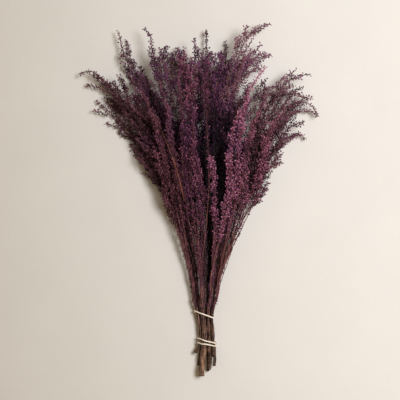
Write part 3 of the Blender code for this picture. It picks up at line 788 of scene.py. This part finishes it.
def wobbled(line, draw):
    """A line that wanders a little from side to side, as a grown branch does."""
    along = lengths_along(line)
    knots = np.arange(0, along[-1] + WOBBLE_STEP, WOBBLE_STEP)
    spots = np.linspace(0, along[-1], max(len(line), round(along[-1] / 4)))
    places, directions = points_on(line, spots)
    across, up = frames_across(directions)
    for axis in (across, up):
        places = places + axis * np.interp(spots, knots, draw.uniform(-WOBBLE, WOBBLE, len(knots)))[:, None]
    return places


def grow_plume(growth, line, leafy_from, spec, layer, draw):
    """One plume: its wiry branch, its sprigs, its twiglets, and the few short spurs under its leaves."""
    length = lengths_along(line)[-1]
    rings = np.linspace(0, length, max(6, round(length / WIRE_STEP)))
    radii = np.interp(rings, (0, leafy_from, length), (FORK_RADIUS, WIRE_RADIUS, TIP_RADIUS))
    line = wobbled(line, draw)
    branch = points_on(line, rings)[0]
    radii = radii * draw.uniform(*UNEVEN, len(rings))
    # Painted shade: the plume's branch is painted darker inside the bunch
    add_tube(growth, branch, radii, WIRE_SIDES, WIRE_LOOK, shade=0.5 - growth.painted_inner_shade_at(branch))

    shade = spec["shade"]
    leafy = length - leafy_from
    distances = steps_between(leafy_from, length, TWIGLET_STEP, draw)
    share = (distances - leafy_from) / leafy
    lengths = TWIGLET_LENGTH * np.interp(share, *TWIGLETS_ALONG)
    lengths *= draw.uniform(0.55, 1.2, len(distances))
    leans = TWIGLET_LEAN * (1 - 0.3 * share) * draw.uniform(0.8, 1.15, len(distances))
    # Painted shade darker at the start of the leaves, lighter towards the tip
    shades = shade + np.interp(share, (0, 1), SHADE_ALONG)
    add_twiglets(growth, line, distances, lengths, leans, shades, draw)

    spurs = steps_between(max(0, leafy_from - spec["spurs"]), max(leafy_from, 1), SPUR_STEP, draw)
    spur_lengths = SPUR_LENGTH * draw.uniform(0.6, 1.3, len(spurs))
    spur_lengths *= np.interp(spurs, (leafy_from - spec["spurs"], leafy_from), (0.6, 1.5))
    spur_leans = TWIGLET_LEAN * draw.uniform(*SPUR_LEANS, len(spurs))
    add_twiglets(growth, line, spurs, spur_lengths, spur_leans, shade, draw)

    tip_share = spec["bushy"] or SPARSE_TIP_SHARE
    step = SPRIG_STEP / (1 + BUSHY_SPRIGS * spec["bushy"])
    lean = SPRIG_LEAN[layer] * (1 + BUSHY_LEAN * spec["bushy"])
    size = (step, tip_share, SPRIG_SIZE[layer], lean)
    grow_sprigs(growth, line, leafy_from, leafy_from + SPRIG_END * leafy, size, shade, draw)


def grow_shoot(growth, wood, line, leafy_y, spec, edge, draw):
    """A thin shoot: it leaves the wood above the tie, runs beside a plume, and is leafy from a Y on. One at
    an edge of the bunch starts lower, and runs on that side."""
    below = wood[wood[:, 1] < line[0, 1] - 2]
    path = np.vstack([below, line])
    along = lengths_along(path)
    start = np.interp(draw.uniform(*(SHOOT_START if edge is None else EDGE_START)), path[:, 1], along)
    end = along[-1] * draw.uniform(*SHOOT_END)
    distances = np.linspace(start, end, max(8, round((end - start) / WIRE_STEP)))
    places, directions = points_on(path, distances)
    across, up = frames_across(directions)
    turn = draw.uniform(0, math.tau) if edge is None else edge + draw.uniform(-0.7, 0.7)
    spread = SHOOT_SPREAD * draw.uniform(0.5, 1.2)
    rise = np.clip((distances - start) / (SHOOT_RISE if edge is None else EDGE_RISE), 0, 1)
    rise = (rise * rise * (3 - 2 * rise) * spread)[:, None]
    shoot = places + rise * (across * math.cos(turn) + up * math.sin(turn) * 0.6)
    shoot = wobbled(shoot, draw)
    shoot[:, 2] = np.maximum(shoot[:, 2], FLOOR_ROOM)
    reach = lengths_along(shoot)
    radii = np.interp(reach, (0, reach[-1]), (SHOOT_RADIUS, TIP_RADIUS))
    radii = radii * draw.uniform(*UNEVEN, len(shoot))
    # Painted shade: the shoot's wire is painted darker inside the bunch
    shades = draw.uniform(*SHOOT_SHADES) - growth.painted_inner_shade_at(shoot)
    add_tube(growth, shoot, radii, WIRE_SIDES, WIRE_LOOK, shade=shades)

    # Painted shade: the shoot's tufts are painted darker than the plume's
    shade = spec["shade"] - SHOOT_PAINTED_SHADE
    leafy_from = float(np.interp(leafy_y, shoot[:, 1], reach))
    spurs = steps_between(max(8, leafy_from - spec["spurs"]), max(leafy_from, 9), SPUR_STEP, draw)
    spur_lengths = SPUR_LENGTH * draw.uniform(0.6, 1.8, len(spurs))
    leans = TWIGLET_LEAN * draw.uniform(*SPUR_LEANS, len(spurs))
    add_twiglets(growth, shoot, spurs, spur_lengths, leans, shade, draw)
    if reach[-1] - leafy_from < SHOOT_LEAST_LEAVES:
        return
    leaves = steps_between(leafy_from, reach[-1], TWIGLET_STEP, draw)
    lengths = SHOOT_TWIGLET_LENGTH * draw.uniform(0.5, 1.3, len(leaves))
    leans = TWIGLET_LEAN * draw.uniform(*SPUR_LEANS, len(leaves))
    add_twiglets(growth, shoot, leaves, lengths, leans, shade, draw)


def grow_wood(growth, stem, wood, draw):
    """The woody part of a stem: furrowed and ribbed bark that swells at knots, with a plain slanted cut."""
    length = lengths_along(wood)[-1]
    rings = np.linspace(0, length, round(length / WOOD_RING_STEP))
    line = points_on(wood, rings)[0]
    for axis, reach in ((0, WOOD_WANDER), (2, WOOD_WANDER / 2)):
        knots = np.arange(0, length + WOBBLE_STEP, WOBBLE_STEP)
        wander = np.interp(rings, knots, draw.uniform(-reach, reach, len(knots)))
        line[:, axis] += wander * (line[:, 2] > stem["radius"] * 2)
    angles = math.tau * np.arange(WOOD_SIDES) / WOOD_SIDES
    along = rings[:, None]
    phase = draw.uniform(0, math.tau, 6)
    winding = FURROW_WANDER * np.sin(along * FURROW_WAVE + phase[1])
    relief = FURROW_DEPTH * np.sin(FURROWS * angles + phase[0] + winding)
    relief = relief + BULGE_DEPTH * np.sin(BULGES * angles + phase[2] - along * BULGE_TURN)
    ringed = along * KNOTS + phase[3] + KNOT_TILT * np.cos(angles + phase[4])
    relief = relief + KNOT_DEPTH * np.sin(ringed)
    thick = np.array([at_station(STATION_THICK, y) for y in line[:, 1]])[:, None]
    radii = stem["radius"] * thick - BARK_RELIEF * (1 - relief) * thick
    ribs = round(math.tau * stem["radius"] / RIB_SPACE)
    wander = np.interp(rings, knots, draw.uniform(-RIB_WANDER, RIB_WANDER, len(knots)))[:, None]
    rib = np.abs(np.sin(ribs / 2 * (angles + RIB_TURN * along + wander) + phase[5])) ** RIB_POWER
    ribbed = np.interp(line[:, 1], RIB_Y, (0.25, 1))[:, None]
    radii *= 1 - RIB_DEPTH * ribbed * (1 - rib)
    radii[-2:] *= LAST_RINGS
    slant = draw.uniform(-CUT_SLANT, CUT_SLANT)
    shade = np.interp(line[:, 1], PALE_Y, (stem["bark"], BARK_SHADE)) + draw.uniform(-0.12, 0.12, len(line))
    # Painted shade in the rib grooves and lighter ridges at the tie
    shade = shade[:, None] + ribbed * (RIB_PAINTED_SHADE[0] * rib - RIB_PAINTED_SHADE[1])
    add_tube(growth, line, radii, WOOD_SIDES, BARK_LOOK, WOOD_LOOK, slant, shade)

    start = float(np.interp(BARK_SPUR_Y, line[:, 1], rings))
    spurs = steps_between(start, length, BARK_SPUR_STEP, draw)
    leans = TWIGLET_LEAN * draw.uniform(0.8, 1.3, len(spurs))
    under_bark = np.interp(spurs, rings, radii.mean(axis=1)) / np.sin(leans)
    add_twiglets(growth, line, spurs, under_bark + draw.uniform(1.0, 3.6, len(spurs)), leans, 0.45, draw)


def new_look(name, roughness):
    """A material, with its node tree and its shader."""
    look = bpy.data.materials.new(name)
    look.use_nodes = True
    shader = look.node_tree.nodes["Principled BSDF"]
    shader.inputs["Roughness"].default_value = roughness
    return look, look.node_tree, shader


def noise(tree, scale, detail=2.0, stretch=(1, 1, 1)):
    """A noise between 0 and 1 in the object's own space, which may be stretched."""
    place = tree.nodes.new("ShaderNodeTexCoord").outputs["Object"]
    mapping = tree.nodes.new("ShaderNodeMapping")
    mapping.inputs["Scale"].default_value = stretch
    texture = tree.nodes.new("ShaderNodeTexNoise")
    texture.inputs["Scale"].default_value = scale
    texture.inputs["Detail"].default_value = detail
    tree.links.new(place, mapping.inputs["Vector"])
    tree.links.new(mapping.outputs["Vector"], texture.inputs["Vector"])
    return texture.outputs["Fac"]


def mixed(tree, first, second, share):
    """Two numbers in a mix, with the second one's share."""
    mix = tree.nodes.new("ShaderNodeMix")
    mix.data_type = "FLOAT"
    mix.inputs["Factor"].default_value = share
    tree.links.new(first, mix.inputs["A"])
    tree.links.new(second, mix.inputs["B"])
    return mix.outputs["Result"]


def mixed_colours(tree, first, second, share):
    """Two colours in a mix, where a socket gives the second one's share."""
    mix = tree.nodes.new("ShaderNodeMix")
    mix.data_type = "RGBA"
    tree.links.new(share, mix.inputs["Factor"])
    tree.links.new(first, mix.inputs["A"])
    tree.links.new(second, mix.inputs["B"])
    return mix.outputs["Result"]


def own_shade(tree):
    """How bright a mesh is at each of its points: its tone, with painted shade and light in it."""
    shade = tree.nodes.new("ShaderNodeAttribute")
    shade.attribute_name = "shade"
    return shade.outputs["Fac"]


def ramp(tree, value, stops):
    """A number turned into a colour, by stops of a position and a colour."""
    node = tree.nodes.new("ShaderNodeValToRGB")
    elements = node.color_ramp.elements
    while len(elements) < len(stops):
        elements.new(0.5)
    for element, (position, colour) in zip(elements, stops):
        element.position = position
        element.color = (*colour, 1)
    tree.links.new(value, node.inputs["Fac"])
    return node.outputs["Color"]


def bump(tree, shader, height, distance, strength):
    node = tree.nodes.new("ShaderNodeBump")
    node.inputs["Distance"].default_value = distance
    node.inputs["Strength"].default_value = strength
    tree.links.new(height, node.inputs["Height"])
    tree.links.new(node.outputs["Normal"], shader.inputs["Normal"])


def tuft_look(name, tones):
    """Woolly leaf tufts: another tone every few millimetres, in patches that run through a plume."""
    look, tree, shader = new_look(name, 0.85)
    # The shade attribute brings painted shade inside the bunch and painted light at the twiglets' knobs into
    # the tufts' colour
    tone = mixed(tree, own_shade(tree), noise(tree, 330, 1), 0.2)
    own = ramp(tree, tone, list(zip(TONE_STOPS, tones)))
    violet = ramp(tree, tone, list(zip(TONE_STOPS, TONES["violet"])))
    patches = tree.nodes.new("ShaderNodeMapRange")
    tree.links.new(noise(tree, 14, 2), patches.inputs["Value"])
    for socket, value in (("From Min", 0.52), ("From Max", 0.62), ("To Max", 0.65)):
        patches.inputs[socket].default_value = value
    colour = mixed_colours(tree, own, violet, patches.outputs["Result"])
    tree.links.new(colour, shader.inputs["Base Color"])
    shader.inputs["Specular IOR Level"].default_value = 0.25
    bump(tree, shader, noise(tree, 1800, 3), 0.0004, 0.6)
    return look


def wire_look():
    look, tree, shader = new_look("wiry_branch", 0.75)
    # The shade attribute brings painted shade inside the bunch into the wires' colour
    tone = mixed(tree, noise(tree, 200, 3, (1, 0.3, 1)), own_shade(tree), 0.5)
    colour = ramp(tree, tone, WIRE_STOPS)
    tree.links.new(colour, shader.inputs["Base Color"])
    bump(tree, shader, noise(tree, 1500, 3, (1, 0.3, 1)), 0.0003, 0.5)
    return look


def bark_look():
    """Furrowed bark, brown at the cut ends and burgundy where the stems leave the tie."""
    look, tree, shader = new_look("bark", 0.8)
    furrows = mixed(tree, noise(tree, 260, 4, (1, 0.16, 1)), noise(tree, 170, 3, (1, 0.45, 1)), 0.5)
    # The shade attribute brings the painted shade of the tie's rib grooves into the bark's colour
    tone = mixed(tree, furrows, own_shade(tree), 0.35)
    place = tree.nodes.new("ShaderNodeTexCoord").outputs["Object"]
    parts = tree.nodes.new("ShaderNodeSeparateXYZ")
    tree.links.new(place, parts.inputs["Vector"])
    share = tree.nodes.new("ShaderNodeMapRange")
    share.inputs["From Min"].default_value = BARK_REDDENS_Y[0] * MM
    share.inputs["From Max"].default_value = BARK_REDDENS_Y[1] * MM
    tree.links.new(parts.outputs["Y"], share.inputs["Value"])
    brown, red = ramp(tree, tone, BROWN_STOPS), ramp(tree, tone, RED_STOPS)
    colour = mixed_colours(tree, brown, red, share.outputs["Result"])
    tree.links.new(colour, shader.inputs["Base Color"])
    bump(tree, shader, tone, 0.0012, 0.9)
    return look


def cut_wood_look():
    look, tree, shader = new_look("cut_wood", 0.8)
    colour = ramp(tree, noise(tree, 500, 3), CUT_STOPS)
    tree.links.new(colour, shader.inputs["Base Color"])
    bump(tree, shader, noise(tree, 900, 3), 0.0005, 0.6)
    return look


def rust_look():
    look, tree, shader = new_look("rusty_twig", 0.7)
    colour = ramp(tree, noise(tree, 200, 3, (1, 0.3, 1)), RUST_STOPS)
    tree.links.new(colour, shader.inputs["Base Color"])
    return look


def rubber_look():
    look, tree, shader = new_look("cream_rubber", 0.5)
    colour = ramp(tree, noise(tree, 90, 3), RUBBER_STOPS)
    tree.links.new(colour, shader.inputs["Base Color"])
    bump(tree, shader, noise(tree, 1400, 2), 0.0001, 0.3)
    return look


def bundle_edge(angle, y, slope):
    """The outermost point of the bundle of stems in a direction across it, near a Y, where a band that slopes
    over the top of the bundle passes it."""
    outward = np.array([math.cos(angle), 0, math.sin(angle)])
    slope *= min(1, 1 + math.sin(angle))
    middle = at_station(STATION_MIDDLE, y)
    edges = []
    for stem in STEMS.values():
        across = stem_place(stem, y)[0] + outward[0] * stem["radius"] * at_station(STATION_THICK, y)
        level = y + slope * (across - middle)
        edges.append(stem_place(stem, level) + outward * stem["radius"] * at_station(STATION_THICK, level))
    return max(edges, key=lambda edge: np.dot(edge, outward)), outward


def make_band(name, band, look):
    """A rubber band as one closed strand with rounded edges. Where two turns cross, one steps over."""
    steps = BAND_STEPS * band["turns"]
    line, outwards = [], []
    for step in range(steps):
        turn = step / BAND_STEPS
        wave = math.sin(math.pi * turn)
        part_by = band["parting"] / 2 * math.copysign(abs(wave) ** PARTING_POWER, wave)
        edge, outward = bundle_edge(math.tau * turn, band["y"] + part_by, band["slope"])
        step_over = np.interp(abs(turn - 1), STEP_OVER, (1, 0)) if band["turns"] > 1 else 0
        lift = BAND_GAP + BAND_THICK / 2 + step_over * (BAND_THICK + BAND_GAP)
        line.append(edge + outward * lift)
        outwards.append(outward)
    line, outwards = np.array(line), np.array(outwards)
    along = unit(np.roll(line, -1, axis=0) - np.roll(line, 1, axis=0))
    wide = unit(np.cross(along, outwards))
    angles = math.tau * (np.arange(BAND_SIDES) + 0.5) / BAND_SIDES
    corner = np.maximum(np.abs(np.cos(angles)), np.abs(np.sin(angles))) ** BAND_ROUNDING
    across, deep = np.cos(angles) / corner * BAND_WIDTH / 2, np.sin(angles) / corner * BAND_THICK / 2
    points = line[:, None] + wide[:, None] * across[:, None] + outwards[:, None] * deep[:, None]
    points[..., 2] = np.maximum(points[..., 2], 0)
    low = np.arange(steps * BAND_SIDES).reshape(steps, BAND_SIDES)
    low_next, high = np.roll(low, -1, axis=1), np.roll(low, -1, axis=0)
    high_next = np.roll(high, -1, axis=1)
    growth = Growth()
    growth.add(points, np.stack([low, high, high_next, low, high_next, low_next], axis=-1), 0)
    piece = growth.mesh_object(name.replace("rubber", "cream"), [look])
    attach(piece, "root")
    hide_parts(name)


def make_stems():
    """A piece for each leafy stem of the frame, on the same routes."""
    bark, wire, cut, rust = bark_look(), wire_look(), cut_wood_look(), rust_look()
    total = 0
    for number, (name, stem) in enumerate(STEMS.items()):
        draw = np.random.default_rng(number + 1)
        wood, lines = route_plumes(name)
        growth = Growth(stem["painted_inner_shade"])
        grow_wood(growth, stem, wood, draw)
        for spec, (line, leafy_from) in zip(stem["plumes"], lines):
            grow_plume(growth, line, leafy_from, spec, stem["layer"], draw)
            alone = spec["parent"] is not None or spec["spurs"] < FEW_SPURS
            for _ in range(0 if alone else SHOOTS[stem["layer"]]):
                leafy_y = spec["leaves"] + draw.uniform(*SHOOT_LEAVES[stem["layer"]])
                grow_shoot(growth, wood, line, leafy_y, spec, EDGES.get(name), draw)
        if name == BARE_TWIG["stem"]:
            foot, over, tip = (np.array(BARE_TWIG[key], float) for key in ("from", "over", "to"))
            twig = bezier(foot, over, over, tip, BARE_TWIG["points"])
            add_tube(growth, twig, np.linspace(*BARE_TWIG["thick"], len(twig)), WIRE_SIDES, RUST_LOOK)
        tufts = tuft_look("tufts_" + name.removeprefix("leafy_stem_"), TONES[stem["tones"]])
        piece = growth.mesh_object(name.replace("leafy_stem", "stoebe"), [bark, wire, tufts, cut, rust])
        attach(piece, "root")
        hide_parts(name)
        triangles = len(piece.data.polygons)
        total += triangles
        print(name, "triangles", triangles)
    print("all stems", total)


def make_stage():
    """A pale floor, a soft light from the right, a weak warm surround, and a camera straight above."""
    bpy.ops.mesh.primitive_plane_add(size=FLOOR_SIZE, location=(0, 0, FLOOR_LEVEL))
    floor = bpy.context.object
    floor.name = "floor"
    look, tree, shader = new_look("pale_floor", 0.95)
    tone = mixed(tree, noise(tree, 9, 3), noise(tree, 260, 3), 0.35)
    colour = ramp(tree, tone, FLOOR_STOPS)
    tree.links.new(colour, shader.inputs["Base Color"])
    bump(tree, shader, noise(tree, 120, 4), 0.0008, 0.25)
    floor.data.materials.append(look)

    world = bpy.data.worlds.new("surround")
    world.use_nodes = True
    background = world.node_tree.nodes["Background"]
    background.inputs["Color"].default_value = SURROUND_COLOUR
    background.inputs["Strength"].default_value = SURROUND_STRENGTH
    bpy.context.scene.world = world

    light = bpy.data.lights.new("window", "SPOT")
    light.energy = LAMP_POWER
    light.color = LAMP_COLOUR
    light.shadow_soft_size = LAMP_RADIUS
    light.spot_size = math.radians(LAMP_CONE)
    light.spot_blend = LAMP_BLEND
    lamp = bpy.data.objects.new("window", light)
    lamp.location = LAMP_PLACE
    lamp.rotation_euler = (Vector(LAMP_AIM) - lamp.location).to_track_quat("-Z", "Y").to_euler()
    bpy.context.scene.collection.objects.link(lamp)

    camera = bpy.data.cameras.new("camera")
    camera.sensor_width = SENSOR_WIDTH
    camera.lens = SENSOR_WIDTH * CAMERA_HEIGHT / CAMERA_SEES
    view = bpy.data.objects.new("camera", camera)
    view.location = (0, 0, CAMERA_HEIGHT)
    bpy.context.scene.collection.objects.link(view)
    bpy.context.scene.camera = view
    bpy.context.scene.view_settings.view_transform = "Standard"


make_stems()
rubber = rubber_look()
for band_name, band_shape in BANDS.items():
    make_band(band_name, band_shape, rubber)
make_stage()
